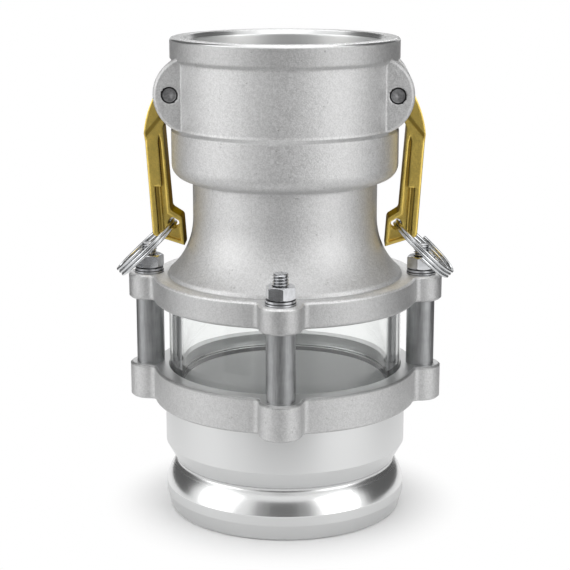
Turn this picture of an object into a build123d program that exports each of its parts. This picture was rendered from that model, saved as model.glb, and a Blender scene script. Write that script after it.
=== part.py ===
from build123d import *
import os
from math import asin, atan2, cos, degrees, pi, radians, sin, sqrt, tan

# A cam and groove sight glass. Millimetres, +Z up, bottom face of the adapter nose at z = 0,
# flow axis along Z. The two cam arms lie at +X and -X, and -Y is the front.

# Adapter nose, groove and bore
nose_radius = 59.75
nose_end_inset = 2.35
nose_edge_chamfer = 0.8
bore_edge_chamfer = 0.8
nose_taper_height = 8.2
nose_ridge_height = 13.0
groove_depth = 5.75
groove_height = 24.0
groove_rounding = 1.8
groove_shoulder_height = 34.4
groove_wall = 3.2
adapter_height = 73.0
ridge_bulge_in = 0.38
ridge_bulge_up = 0.56

# Bolted flanges and their four lugs
flange_wall = 7.1
lower_flange_thickness = 17.5
upper_flange_thickness = 12.5
flange_edge_chamfer = 0.9
flange_overlap = 1.5
bolt_axis_outset = 2.2
lug_radius = 10.2
lug_blend_radius = 3.6
flange_underside_chamfer = 1.2

# Glass, its seats and its gaskets
glass_ledge = 0.7
glass_wall = 6.0
glass_side_clearance = 0.4
glass_seat_depth = 8.0
glass_gasket_thickness = 2.0
glass_edge_chamfer = 0.5

# Studs, sleeves, nuts and washers
stud_radius = 3.97
stud_end_chamfer = 0.8
stud_end_above_nut = 5.6
tapped_hole_clearance = 0.05
stud_bottom_gap = 1.0
lug_hole_clearance = 0.45
sleeve_length = 33.0
sleeve_radius = 6.85
sleeve_bore_clearance = 0.45
flat_washer_radius = 7.2
flat_washer_thickness = 1.1
lock_washer_radius = 6.9
lock_washer_thickness = 1.4
lock_washer_split = 0.8
lock_split_slant = 30.0
washer_bore_clearance = 0.3
nut_across_flats = 12.5
nut_height = 6.4
nut_chamfer_angle = 30.0
nut_face_share = 0.96
nut_turn = 5.0

# Coupler body, from the flare up to the mouth
neck_radius = 45.0
neck_wall = 6.0
flare_foot_inset = 7.5
flare_foot_height = 1.4
flare_foot_chamfer = 0.7
flare_height = 28.5
neck_height = 18.2
shoulder_rise = 1.2
shoulder_flat = 4.6
lower_band_step = 1.4
lower_band_height = 25.3
socket_wall = 7.25
recess_band_height = 33.0
rim_step = 1.6
rim_height = 10.5
rim_rounding = 1.6
band_step_slant = 1.5
neck_crease_chamfer = 0.7
socket_ledge = 7.45
mouth_lead_clearance = 0.65
mouth_lead_depth = 12.4
mouth_chamfer_width = 1.5
mouth_chamfer_height = 2.4
socket_depth = 54.0
socket_gasket_recess = 2.55
socket_gasket_thickness = 6.3
socket_gasket_inward = 0.4
socket_gasket_clearance = 0.3
gasket_edge_chamfer = 0.6

# Ears, cam slots and pins
pin_depth_below_mouth = 25.7
pin_outset = 7.05
pin_radius = 3.95
pin_end_chamfer = 0.7
pin_seat_clearance = 0.05
ear_offset_in = 10.6
ear_radius = 18.6
ear_half_width = 24.0
ear_edge_chamfer = 1.2
slot_half_width = 10.0
slot_clearance = 0.65

# Cam arms
arm_running_clearance = 0.08
arm_side_clearance = 0.3
cam_reach = 4.6
cam_lobe_radius = 5.2
cam_lobe_drop = 1.0
cam_hub_clearance = 0.4
handle_half_width = 7.5
web_half_width = 4.5
handle_edge_rounding = 1.0
shoulder_start_angle = 35.0
handle_outer_top = (14.1, -20.0)
handle_outer_end = (11.2, -66.0)
foot_outer_drop = 70.2
foot_corner_rounding = 2.2
foot_tip_drop = 75.2
foot_tip_lean = 1.0
foot_clearance = 1.1
foot_bump_drop = 61.2
foot_bump_rounding = 2.4
handle_inner_top = (5.1, -17.3)
handle_inner_end = (2.1, -57.6)
neck_inner_outset = 3.3
neck_inner_drop = 12.6
neck_inner_rounding = 3.0
handle_rim = 1.5
foot_rim = 1.7
upper_rail_width = 6.3
lower_rail_width = 2.9
pocket_top_drop = 20.5
pocket_point_height = 3.5
pocket_split_drop = 46.0
rib_inset = 4.4
rib_width = 1.1
rib_rise = 1.4
head_bevel_angle = 50.0
head_bevel_outset = 8.0
head_bevel_drop = 16.0
head_bevel_reach = 8.0
ring_hole_radius = 2.75
ring_hole_drop = 64.5
ring_hole_outset = 0.9
face_tolerance = 0.01

# Pull rings
ring_wire_radius = 0.8
ring_mean_radius = 18.3
ring_half_turns = 5
ring_strand_gap = 0.15
ring_rest_clearance = 0.3

# Heights that follow
lower_flange_bottom = adapter_height - lower_flange_thickness
upper_flange_bottom = adapter_height + sleeve_length
upper_flange_top = upper_flange_bottom + upper_flange_thickness
neck_bottom = upper_flange_top + flare_height
shoulder_bottom = neck_bottom + neck_height
lower_band_top = shoulder_bottom + lower_band_height
rim_bottom = lower_band_top + recess_band_height
mouth_height = rim_bottom + rim_height
socket_floor = mouth_height - socket_depth
pin_height = mouth_height - pin_depth_below_mouth

# Radii that follow
nose_end_radius = nose_radius - nose_end_inset
groove_radius = nose_radius - groove_depth
adapter_bore_radius = groove_radius - groove_wall
glass_bore_radius = adapter_bore_radius + glass_ledge
glass_radius = glass_bore_radius + glass_wall
glass_seat_radius = glass_radius + glass_side_clearance
flange_radius = glass_seat_radius + flange_wall
bolt_circle_radius = flange_radius + bolt_axis_outset
flare_foot_radius = flange_radius - flare_foot_inset
neck_bore_radius = neck_radius - neck_wall
socket_bore_radius = neck_bore_radius + socket_ledge
recess_band_radius = socket_bore_radius + socket_wall
band_radius = recess_band_radius + lower_band_step
rim_radius = recess_band_radius + rim_step
mouth_lead_radius = socket_bore_radius + mouth_lead_clearance
socket_gasket_radius = socket_bore_radius + socket_gasket_recess
socket_gasket_inner_radius = neck_bore_radius - socket_gasket_inward
pin_offset = socket_bore_radius + pin_outset
hub_radius = pin_offset - socket_bore_radius - cam_hub_clearance
cam_tip_radius = pin_offset - socket_bore_radius + cam_reach
flare_rise = flare_height - flare_foot_height
flare_run = flare_foot_radius - neck_radius
flare_radius = (flare_rise ** 2 + flare_run ** 2) / (2 * flare_run)
flat_washer_top = upper_flange_top + flat_washer_thickness
nut_bottom = flat_washer_top + lock_washer_thickness

BOLT_SIDES = {"front": 270, "right": 0, "back": 90, "left": 180}
ARM_TURNS = {"right": 0, "left": 180}


def flare_surface(height):
    """Outer radius of the flare at a height."""
    return neck_radius + flare_radius - sqrt(flare_radius ** 2 - (neck_bottom - height) ** 2)


def eased(profile, ease, sizes):
    """Profile with the corners nearest to the given points rounded by fillet or cut by chamfer."""
    for (across, up), size in sizes.items():
        corner = profile.vertices().sort_by_distance((across, up, 0))[0]
        profile = ease(corner, size)
    return profile


def turned(profile):
    """Solid of revolution about the flow axis, from a profile of radius and height."""
    return revolve(Plane.XZ * profile, Axis.Z)


def lines(points):
    """Straight edges from each point to the next."""
    return [Line(a, b) for a, b in zip(points[:-1], points[1:])]


def ring_solid(outer, inner, low, high):
    """Plain ring about the flow axis between two heights."""
    middle = Pos((outer + inner) / 2, (low + high) / 2)
    return turned(middle * Rectangle(outer - inner, high - low))


def at_bolt(angle):
    """Place of a bolt axis on the bolt circle."""
    return Rot(0, 0, angle) * Pos(bolt_circle_radius, 0, 0)


def lugged_flange(low, high):
    """Round flange with four round lugs, blended in plan and chamfered along its edges."""
    outline = Circle(flange_radius)
    for angle in BOLT_SIDES.values():
        outline += at_bolt(angle) * Circle(lug_radius)
    inward = [v for v in outline.vertices()
              if abs(Vector(v.X, v.Y).length - flange_radius) < face_tolerance]
    outline = fillet(inward, lug_blend_radius)
    slab = Pos(0, 0, low) * extrude(outline, high - low)
    rims = slab.edges().filter_by(Plane.XY)
    return chamfer(rims, flange_edge_chamfer)


def bolt_holes(radius, low, high):
    """Round holes through the lugs."""
    hole = Pos(0, 0, (low + high) / 2) * Cylinder(radius, high - low)
    return Part() + [at_bolt(angle) * hole for angle in BOLT_SIDES.values()]


def adapter_body():
    """Male groove adapter with the lower flange."""
    top = adapter_height
    ridge = (nose_radius, nose_ridge_height)
    root = (groove_radius, groove_height)
    bulge = (nose_radius - (nose_radius - groove_radius) * ridge_bulge_in,
             nose_ridge_height + (groove_height - nose_ridge_height) * ridge_bulge_up)
    web_radius = flange_radius - flange_overlap
    under_flange = (nose_radius, lower_flange_bottom)
    nose_end = (nose_end_radius, 0)
    bore_end = (adapter_bore_radius, 0)
    outline = lines([bore_end, nose_end, (nose_radius, nose_taper_height), ridge])
    outline.append(ThreePointArc(ridge, bulge, root))
    outline += lines([root, (nose_radius, groove_shoulder_height), under_flange,
                      (web_radius, lower_flange_bottom), (web_radius, top), (glass_seat_radius, top),
                      (glass_seat_radius, top - glass_seat_depth),
                      (adapter_bore_radius, top - glass_seat_depth), bore_end])
    profile = eased(make_face(outline), fillet, {root: groove_rounding})
    nose = turned(eased(profile, chamfer, {nose_end: nose_edge_chamfer, bore_end: bore_edge_chamfer,
                                           under_flange: flange_underside_chamfer}))
    rim = lugged_flange(lower_flange_bottom, top) - Pos(0, 0, adapter_height / 2) * Cylinder(
        flange_radius - 2 * flange_overlap, adapter_height)
    return nose + rim - bolt_holes(stud_radius + tapped_hole_clearance, lower_flange_bottom, top)


def coupler_shell():
    """Turned outside of the coupler, from the flange to the mouth, still solid inside."""
    foot = (flare_foot_radius, upper_flange_top + flare_foot_height)
    foot_corner = (flare_foot_radius, upper_flange_top)
    web_radius = flange_radius - flange_overlap
    shoulder_in = (neck_radius + shoulder_flat, shoulder_bottom + shoulder_rise)
    slant = atan2(shoulder_rise, shoulder_flat)
    shoulder_radius = (band_radius - shoulder_in[0]) / (1 - sin(slant))
    shoulder_out = (band_radius, shoulder_in[1] + shoulder_radius * cos(slant))
    flare_middle = (foot[1] + neck_bottom) / 2
    halfway = (flare_surface(flare_middle), flare_middle)
    half_step = band_step_slant / 2
    rim_high = (rim_radius, mouth_height)
    neck_crease = (neck_radius, shoulder_bottom)
    outline = lines([(0, upper_flange_bottom), (web_radius, upper_flange_bottom),
                     (web_radius, upper_flange_top), foot_corner, foot])
    outline.append(ThreePointArc(foot, halfway, (neck_radius, neck_bottom)))
    outline += lines([(neck_radius, neck_bottom), neck_crease, shoulder_in])
    outline.append(TangentArc(shoulder_in, shoulder_out, tangent=(shoulder_flat, shoulder_rise)))
    outline += lines([shoulder_out, (band_radius, lower_band_top - half_step),
                      (recess_band_radius, lower_band_top + half_step),
                      (recess_band_radius, rim_bottom - half_step), (rim_radius, rim_bottom + half_step),
                      rim_high, (0, mouth_height), (0, upper_flange_bottom)])
    profile = eased(make_face(outline), fillet, {rim_high: rim_rounding})
    return turned(eased(profile, chamfer, {foot: flare_foot_chamfer, neck_crease: neck_crease_chamfer}))


def coupler_passage():
    """Hollow inside of the coupler: mouth chamfer, socket, gasket groove, neck bore and glass seat."""
    seat_top = upper_flange_bottom + glass_seat_depth
    rise = neck_bottom - seat_top
    run = adapter_bore_radius - neck_bore_radius
    bore_arc = (rise ** 2 + run ** 2) / (2 * run)
    middle = neck_bottom - rise / 2
    groove_top = socket_floor + socket_gasket_thickness + socket_gasket_clearance
    mouth_in = mouth_lead_radius + mouth_chamfer_width
    lead_bottom = mouth_height - mouth_lead_depth
    points = [
        (neck_bore_radius, neck_bottom),
        (neck_bore_radius, socket_floor),
        (socket_gasket_radius + socket_gasket_clearance, socket_floor),
        (socket_gasket_radius + socket_gasket_clearance, groove_top),
        (socket_bore_radius, groove_top),
        (socket_bore_radius, lead_bottom),
        (mouth_lead_radius, lead_bottom),
        (mouth_lead_radius, mouth_height - mouth_chamfer_height),
        (mouth_in, mouth_height),
        (0, mouth_height),
        (0, upper_flange_bottom),
        (glass_seat_radius, upper_flange_bottom),
        (glass_seat_radius, seat_top),
        (adapter_bore_radius, seat_top),
    ]
    swell = ThreePointArc((adapter_bore_radius, seat_top),
                          (neck_bore_radius + bore_arc - sqrt(bore_arc ** 2 - (rise / 2) ** 2), middle),
                          (neck_bore_radius, neck_bottom))
    return turned(make_face(lines(points) + [swell]))


def on_pin(turn):
    """Place of a cam pin, its axis along Y, on the right at no turn and on the left at half a turn."""
    return Rot(0, 0, turn) * Pos(pin_offset, 0, pin_height) * Rot(90, 0, 0)


def ear_block(turn):
    """Round ear that carries a cam pin, reaching inwards to the socket wall."""
    disc = Pos(-ear_offset_in, 0, 0) * Cylinder(ear_radius, 2 * ear_half_width)
    return on_pin(turn) * chamfer(disc.edges().filter_by(GeomType.CIRCLE), ear_edge_chamfer)


def cam_slot():
    """Space between the two cheeks of the right ear, and the window through the socket wall."""
    far = rim_radius + 2 * ear_radius
    inside = socket_bore_radius - cam_reach
    window_half = cam_tip_radius + slot_clearance
    space = Pos((recess_band_radius + far) / 2, 0, (lower_band_top + rim_bottom) / 2) * Box(
        far - recess_band_radius + slot_half_width, 2 * slot_half_width, 4 * ear_radius)
    outside = (ring_solid(2 * far, recess_band_radius, lower_band_top, rim_bottom)
               + ring_solid(2 * far, band_radius, lower_band_top - ear_radius, lower_band_top)
               + ring_solid(2 * far, rim_radius, rim_bottom, rim_bottom + ear_radius))
    window = Pos((inside + band_radius) / 2, 0, pin_height) * Box(
        band_radius - inside, 2 * slot_half_width, 2 * window_half)
    return (space & outside) + window


def coupler_body():
    """Female cam coupler with ears, cam slots, flared neck and the upper flange."""
    body = coupler_shell()
    for turn in ARM_TURNS.values():
        body += ear_block(turn)
    rim = lugged_flange(upper_flange_bottom, upper_flange_top) - Pos(
        0, 0, (upper_flange_bottom + upper_flange_top) / 2) * Cylinder(
            flange_radius - 2 * flange_overlap, upper_flange_thickness)
    body += rim
    body -= coupler_passage()
    slot = cam_slot()
    body -= slot
    body -= mirror(slot, Plane.YZ)
    for turn in ARM_TURNS.values():
        body -= on_pin(turn) * Cylinder(pin_radius + pin_seat_clearance, 2 * rim_radius)
    return body - bolt_holes(stud_radius + lug_hole_clearance, upper_flange_bottom, upper_flange_top)


def cam_pin(turn):
    """Plain pin across an ear, with chamfered ends."""
    pin = Cylinder(pin_radius, 2 * ear_half_width)
    return on_pin(turn) * chamfer(pin.edges().filter_by(GeomType.CIRCLE), pin_end_chamfer)


def outer_line(drop):
    """How far outside the pin the back of a handle lies, a drop below it."""
    (u0, v0), (u1, v1) = handle_outer_top, handle_outer_end
    return u0 + (u1 - u0) * (-drop - v0) / (v1 - v0)


def inner_line(drop):
    """How far outside the pin the inner edge of a handle lies, a drop below it."""
    (u0, v0), (u1, v1) = handle_inner_top, handle_inner_end
    return u0 + (u1 - u0) * (-drop - v0) / (v1 - v0)


def foot_tip():
    """Tip of the foot, just clear of the flare."""
    return (flare_surface(pin_height - foot_tip_drop) + foot_clearance - pin_offset, -foot_tip_drop)


def arm_outline():
    """Side outline of an arm about its pin: cam head, handle and stepped foot."""
    lobe_center = (cam_lobe_radius - cam_tip_radius, -cam_lobe_drop)
    head = Circle(hub_radius)
    lobe = Pos(*lobe_center) * Circle(cam_lobe_radius)
    cam = make_hull(head.edges() + lobe.edges())
    turn = radians(shoulder_start_angle)
    start = (hub_radius * cos(turn), hub_radius * sin(turn))
    back_corner = (outer_line(foot_outer_drop), -foot_outer_drop)
    bump = (foot_tip()[0] + foot_tip_lean, -foot_bump_drop)
    neck = (neck_inner_outset, -neck_inner_drop)
    arc = TangentArc(start, handle_outer_top, tangent=(sin(turn), -cos(turn)))
    points = [handle_outer_top, back_corner, foot_tip(), bump, handle_inner_end, handle_inner_top,
              neck, (0, -pin_radius), (0, 0), start]
    handle = make_face([arc] + lines(points))
    handle = eased(handle, fillet, {back_corner: foot_corner_rounding, bump: foot_bump_rounding,
                                    handle_inner_end: foot_bump_rounding, neck: neck_inner_rounding})
    return cam + handle


def side_waste():
    """What is cut from the front side of the head's width to leave the narrower handle."""
    slant = radians(head_bevel_angle)
    along = Vector(cos(slant), 0, -sin(slant))
    start = Vector(head_bevel_outset, 0, -head_bevel_drop) - along * head_bevel_reach
    head_half = slot_half_width - arm_side_clearance
    bevel = head_half - handle_half_width
    far = 2 * foot_tip_drop
    outline = [(handle_half_width, -far), (handle_half_width, 0), (head_half, bevel),
               (2 * head_half, bevel), (2 * head_half, -far)]
    plane = Plane(origin=start, x_dir=(0, 1, 0), z_dir=along)
    return extrude(plane * make_face(Polyline(outline, close=True)), far)


def pocket_waste():
    """Recess in the front side of the handle, with the thin rib left standing in it."""
    low = pocket_split_drop
    high = pocket_top_drop
    shoulder = high + pocket_point_height
    tip_u, tip_v = foot_tip()
    slope = (tip_v + foot_outer_drop) / (tip_u - outer_line(foot_outer_drop))
    rail_u = outer_line(foot_outer_drop) - lower_rail_width
    rail_v = -foot_outer_drop + slope * (rail_u - outer_line(foot_outer_drop)) + foot_rim
    inner_u = tip_u + handle_rim
    inner_v = tip_v + slope * handle_rim + foot_rim
    upper = [(inner_line(low) + handle_rim, -low), (inner_line(shoulder) + handle_rim, -shoulder),
             ((inner_line(high) + outer_line(high)) / 2 - upper_rail_width / 2 + handle_rim / 2, -high),
             (outer_line(shoulder) - upper_rail_width, -shoulder),
             (outer_line(low) - upper_rail_width, -low)]
    lower = [(inner_line(low) + handle_rim, -low), (outer_line(low) - lower_rail_width, -low),
             (rail_u, rail_v), (inner_u, inner_v),
             (inner_u + foot_tip_lean, -foot_bump_drop - foot_rim),
             (handle_inner_end[0] + handle_rim, handle_inner_end[1] - foot_rim)]
    rib_low = foot_outer_drop - foot_rim
    rib = [(outer_line(low) - rib_inset, -low), (outer_line(rib_low) - rib_inset, -rib_low),
           (outer_line(rib_low) - rib_inset - rib_width, -rib_low),
           (outer_line(low) - rib_inset - rib_width, -low)]
    depth = 2 * handle_half_width - web_half_width
    floor = Plane.XZ.offset(web_half_width)
    waste = extrude(floor * make_face(Polyline(upper, close=True)), depth)
    waste += extrude(floor * make_face(Polyline(lower, close=True)), depth)
    return waste - extrude(floor * make_face(Polyline(rib, close=True)), rib_rise)


def cam_arm(turn):
    """Cam arm with its eccentric head, ribbed handle, foot and pull ring hole."""
    head_half = slot_half_width - arm_side_clearance
    arm = extrude(Plane.XZ * arm_outline(), head_half, both=True)
    waste = side_waste()
    arm -= waste
    arm -= mirror(waste, Plane.XZ)
    backs = arm.edges().filter_by(lambda e: abs(abs(e.center().Y) - handle_half_width) < face_tolerance
                                  and e.length > foot_bump_drop / 2
                                  and e.center().X > (outer_line(foot_bump_drop) + inner_line(0)) / 2)
    arm = fillet(backs, handle_edge_rounding)
    pocket = pocket_waste()
    arm -= pocket
    arm -= mirror(pocket, Plane.XZ)
    arm -= Rot(90, 0, 0) * Cylinder(pin_radius + arm_running_clearance, 2 * slot_half_width)
    arm -= Pos(ring_hole_outset, 0, -ring_hole_drop) * Rot(90, 0, 0) * Cylinder(
        ring_hole_radius, 2 * slot_half_width)
    return Rot(0, 0, turn) * Pos(pin_offset, 0, pin_height) * arm


def pull_ring(turn):
    """Split ring of round wire, hung in the foot by two strands and resting on the lug by three.

    Each half turn is a half circle that leans by half a pitch, so that the strands lie side by side.
    """
    pitch = 2 * ring_wire_radius + ring_strand_gap
    hole = Vector(pin_offset + ring_hole_outset, 0, pin_height - ring_hole_drop)
    edge = Vector(bolt_circle_radius + lug_radius, 0, upper_flange_top)
    reach = edge - hole
    height = pitch * ring_half_turns / 2
    lift = height / 2 - pitch / 4 + ring_wire_radius + ring_rest_clearance
    lean = atan2(reach.X, -reach.Z) + asin(lift / reach.length)
    down = Vector(sin(lean), 0, -cos(lean))
    up = Vector(cos(lean), 0, sin(lean))
    slant = degrees(asin(pitch / 4 / ring_mean_radius))
    strand = revolve(Pos(ring_mean_radius, 0) * Circle(ring_wire_radius), Axis.Y, 180)
    wire = Part()
    for half in range(ring_half_turns):
        side = 1 if half % 2 == 0 else -1
        middle = Pos(0, 0, pitch * (half / 2 + 1 / 4))
        wire += middle * Rot(0, side * slant, 0) * Rot(90 * side, 0, 0) * strand
    place = Plane(origin=hole + down * ring_mean_radius - up * (height / 2), x_dir=(0, -1, 0), z_dir=up)
    return Rot(0, 0, turn) * (place * wire)


def coupler_gasket():
    """Flat ring seal at the bottom of the socket."""
    ring = ring_solid(socket_gasket_radius, socket_gasket_inner_radius, socket_floor,
                      socket_floor + socket_gasket_thickness)
    return chamfer(ring.edges().filter_by(GeomType.CIRCLE), gasket_edge_chamfer)


def glass_gasket(low):
    """Flat ring seal between a glass end and its seat."""
    return ring_solid(glass_radius, glass_bore_radius, low, low + glass_gasket_thickness)


def glass_tube():
    """Straight glass cylinder between the two seats, with eased ends."""
    low = adapter_height - glass_seat_depth + glass_gasket_thickness
    high = upper_flange_bottom + glass_seat_depth - glass_gasket_thickness
    tube = ring_solid(glass_radius, glass_bore_radius, low, high)
    return chamfer(tube.edges().filter_by(GeomType.CIRCLE), glass_edge_chamfer)


def stud(angle):
    """Plain-shanked stud from the tapped lower lug up through the nut."""
    low = lower_flange_bottom + stud_bottom_gap
    high = nut_bottom + nut_height + stud_end_above_nut
    rod = Pos(0, 0, (low + high) / 2) * Cylinder(stud_radius, high - low)
    rod = chamfer(rod.edges().filter_by(GeomType.CIRCLE), stud_end_chamfer)
    return at_bolt(angle) * rod


def spacer_sleeve(angle):
    """Tube that holds the two flanges apart around a stud."""
    middle = adapter_height + sleeve_length / 2
    tube = Pos(0, 0, middle) * Cylinder(sleeve_radius, sleeve_length)
    tube -= Pos(0, 0, middle) * Cylinder(stud_radius + sleeve_bore_clearance, sleeve_length)
    return at_bolt(angle) * tube


def washer(radius, low, thickness):
    """Flat ring around a stud."""
    disc = Pos(0, 0, low + thickness / 2) * Cylinder(radius, thickness)
    return disc - Pos(0, 0, low + thickness / 2) * Cylinder(stud_radius + washer_bore_clearance, thickness)


def lock_washer():
    """Spring washer with a slanted split on its inner side."""
    ring = washer(lock_washer_radius, flat_washer_top, lock_washer_thickness)
    middle = flat_washer_top + lock_washer_thickness / 2
    cutter = Box(2 * (lock_washer_radius - stud_radius), lock_washer_split, 4 * lock_washer_thickness)
    return ring - Pos(-lock_washer_radius, 0, middle) * Rot(lock_split_slant, 0, 0) * cutter


def hex_nut():
    """Hexagon nut with both ends chamfered, bored to the stud."""
    corner = nut_across_flats / 2 / cos(pi / 6)
    prism = extrude(RegularPolygon(corner, 6), nut_height)
    bevel = corner - nut_across_flats / 2 * nut_face_share
    round_blank = Pos(0, 0, nut_height / 2) * Cylinder(corner, nut_height)
    ends = round_blank.edges().filter_by(GeomType.CIRCLE)
    round_blank = chamfer(ends, bevel * tan(radians(nut_chamfer_angle)), bevel)
    nut = prism & round_blank
    nut -= Pos(0, 0, nut_height / 2) * Cylinder(stud_radius + tapped_hole_clearance, nut_height)
    return Pos(0, 0, nut_bottom) * Rot(0, 0, nut_turn) * nut


def at_every_bolt(shape):
    """The same piece on each of the four studs, as separate solids."""
    return Compound(children=[at_bolt(angle) * shape for angle in BOLT_SIDES.values()])


def write(node, shape):
    """One STEP file for each named sub-part."""
    export_step(shape, "parts/" + node + ".step")


def build():
    """Writes every sub-part."""
    os.makedirs("parts", exist_ok=True)
    write("adapter_body", adapter_body())
    write("coupler_body", coupler_body())
    write("coupler_gasket", coupler_gasket())
    write("glass_tube", glass_tube())
    write("lower_glass_gasket", glass_gasket(adapter_height - glass_seat_depth))
    write("upper_glass_gasket", glass_gasket(
        upper_flange_bottom + glass_seat_depth - glass_gasket_thickness))
    for name, turn in ARM_TURNS.items():
        write("cam_arm_" + name, cam_arm(turn))
        write("cam_pin_" + name, cam_pin(turn))
        write("pull_ring_" + name, pull_ring(turn))
    for name, angle in BOLT_SIDES.items():
        write("stud_" + name, stud(angle))
        write("spacer_sleeve_" + name, spacer_sleeve(angle))
    flat_washer = washer(flat_washer_radius, upper_flange_top, flat_washer_thickness)
    write("flat_washers", at_every_bolt(flat_washer))
    write("lock_washers", at_every_bolt(lock_washer()))
    write("hex_nuts", at_every_bolt(hex_nut()))


build()
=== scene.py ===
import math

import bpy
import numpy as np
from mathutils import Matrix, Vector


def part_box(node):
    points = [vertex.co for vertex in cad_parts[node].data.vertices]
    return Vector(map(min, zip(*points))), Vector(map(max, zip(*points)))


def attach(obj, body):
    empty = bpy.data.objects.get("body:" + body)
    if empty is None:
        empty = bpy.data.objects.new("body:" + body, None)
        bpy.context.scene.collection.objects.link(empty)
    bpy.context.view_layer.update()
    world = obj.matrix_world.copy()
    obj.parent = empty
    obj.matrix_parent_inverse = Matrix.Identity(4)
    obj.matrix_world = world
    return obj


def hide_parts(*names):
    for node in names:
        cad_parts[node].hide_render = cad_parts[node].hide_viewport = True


bl_info = {
    "name": "Sight Glass Dresser",
    "version": (1, 0, 0),
    "blender": (4, 5, 0),
    "location": "View3D > Sidebar > Sight Glass",
    "description": "Finishes, threads and pull rings for a cam and groove sight glass",
    "category": "Object",
}

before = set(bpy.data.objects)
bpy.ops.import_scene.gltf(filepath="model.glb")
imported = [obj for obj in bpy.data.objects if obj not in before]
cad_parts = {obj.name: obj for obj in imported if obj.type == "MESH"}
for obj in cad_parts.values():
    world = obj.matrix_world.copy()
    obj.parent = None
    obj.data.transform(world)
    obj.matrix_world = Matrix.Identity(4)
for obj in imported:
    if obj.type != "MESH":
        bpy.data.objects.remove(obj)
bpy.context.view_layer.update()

MM = 0.001
INCH = 0.0254
FITTING = "fitting"
SIDES = ("left", "right")
BOLTS = ("front", "right", "back", "left")
WHITE = (1.0, 1.0, 1.0, 1.0)

# Ranges that nearly all and most of a noise's values lie in
BROAD = (0.3, 0.7)
NARROW = (0.35, 0.65)


def node_centre(name):
    """Middle of a CAD node's box, as an array."""
    low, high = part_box(name)
    return (np.array(low) + np.array(high)) / 2


def node_size(name):
    """Width, depth and height of a CAD node's box, as an array."""
    low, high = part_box(name)
    return np.array(high) - np.array(low)


# Heights and radii read from the frame, in metres
FLANGE_TOP = float(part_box("flat_washers")[0][2])
MOUTH_HEIGHT = float(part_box("coupler_body")[1][2])
ADAPTER_TOP = float(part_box("adapter_body")[1][2])
WASHER_JOINT, WASHER_TOP = (float(corner[2]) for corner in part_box("lock_washers"))
STUD_RADIUS = float(node_size("stud_front")[0]) / 2
BOLT_CIRCLE = float(node_centre("stud_right")[0])
PIN_CENTRE = node_centre("cam_pin_right")
PIN_RADIUS = float(node_size("cam_pin_right")[0]) / 2

# Where the finishes of the castings change, in metres
STEP_HEIGHT = MOUTH_HEIGHT - 43.5 * MM
RIM_STEP_HEIGHT = MOUTH_HEIGHT - 10.0 * MM
NECK_TOP = 180.0 * MM
NECK_BORE = 41.0 * MM
MOUTH_BORE = 48.4 * MM
SOCKET_BORE = 47.3 * MM
SEAT_BORE = 51.4 * MM
STEP_WALL = 55.5 * MM
FLANGE_EDGE = 60.0 * MM

# Turned bands of each casting: low and high end, roughness, factor of the colour. The factors are painted light and
# shade: the coupler's land is painted lighter, a painted highlight, and the adapter's bands darker, painted shade.
COUPLER_BANDS = ((MOUTH_HEIGHT - 1.0 * MM, MOUTH_HEIGHT + 1.0 * MM, 0.24, 1.05),)
ADAPTER_BANDS = ((-1.0 * MM, 12.9 * MM, 0.36, 0.85),
                 (12.9 * MM, 22.0 * MM, 0.20, 0.97),
                 (22.0 * MM, 26.0 * MM, 0.27, 0.82),
                 (26.0 * MM, 60.0 * MM, 0.36, 0.92),
                 (ADAPTER_TOP - 0.3 * MM, ADAPTER_TOP + 1.0 * MM, 0.40, 0.78))


def floor_and_wall(near, reach, top, lift=0.001):
    """Path of a flag that lies on the floor and then stands up, as distances and heights."""
    return (near, lift), (reach, lift), (reach, top)


# Soft boxes: how far off they stand, and the name and turn in degrees of those beside the camera
BOX_REACH = 1.3
SIDE_BOXES = (("left_box", -66.0), ("right_box", 56.0))

# Dark flags: name, first and last turn and soft edge in degrees, grey, grey of the edge, path
FLAGS = (("camera_flag", -15.0, 15.0, 3.0, 0.20, 0.36, floor_and_wall(0.22, 1.24, 0.95, lift=0.002)),
         ("flank_flag", -34.0, 34.0, 12.0, 0.36, 1.0, floor_and_wall(0.22, 1.25, 0.95)),
         ("nut_flag", -58.0, -26.0, 6.0, 0.03, 1.0, ((0.32, 0.003), (0.78, 0.003))),
         ("left_flag", -165.0, -91.0, 14.0, 0.13, 1.0, floor_and_wall(0.28, 1.25, 2.2)),
         ("right_flag", 77.0, 160.0, 14.0, 0.13, 1.0, floor_and_wall(0.28, 1.25, 2.2)),
         ("back_floor_flag", 166.0, 194.0, 4.0, 0.10, 1.0, ((0.28, 0.001), (1.2, 0.001))),
         ("back_flag", 160.0, 200.0, 6.0, 0.42, 1.0, ((1.26, 0.1), (1.26, 0.62))))


class ViewSettings(bpy.types.PropertyGroup):
    """Where the camera stands and how the studio is lit."""

    distance: bpy.props.FloatProperty(
        name="Distance", description="Camera's distance from the flow axis", default=0.768, subtype="DISTANCE")
    height: bpy.props.FloatProperty(
        name="Height", description="Camera's height above the floor", default=0.2913, subtype="DISTANCE")
    pitch: bpy.props.FloatProperty(
        name="Pitch", description="How far the camera looks down", default=math.radians(13.15), subtype="ANGLE")
    turn: bpy.props.FloatProperty(
        name="Turn", description="How far the camera stands to the right", default=math.radians(1.7),
        subtype="ANGLE")
    lens: bpy.props.FloatProperty(
        name="Lens", description="Focal length in millimetres on a 36 mm sensor", default=100.5)
    soft_box_light: bpy.props.FloatProperty(
        name="Soft boxes", description="Brightness of the two large soft boxes", default=1.65)
    top_light: bpy.props.FloatProperty(
        name="Top light", description="Brightness of the overhead soft box", default=0.9)
    back_light: bpy.props.FloatProperty(
        name="Back light", description="Brightness of the soft box behind", default=1.2)
    room_light: bpy.props.FloatProperty(
        name="Room light", description="Brightness of the room on dull surfaces", default=0.62)


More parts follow.
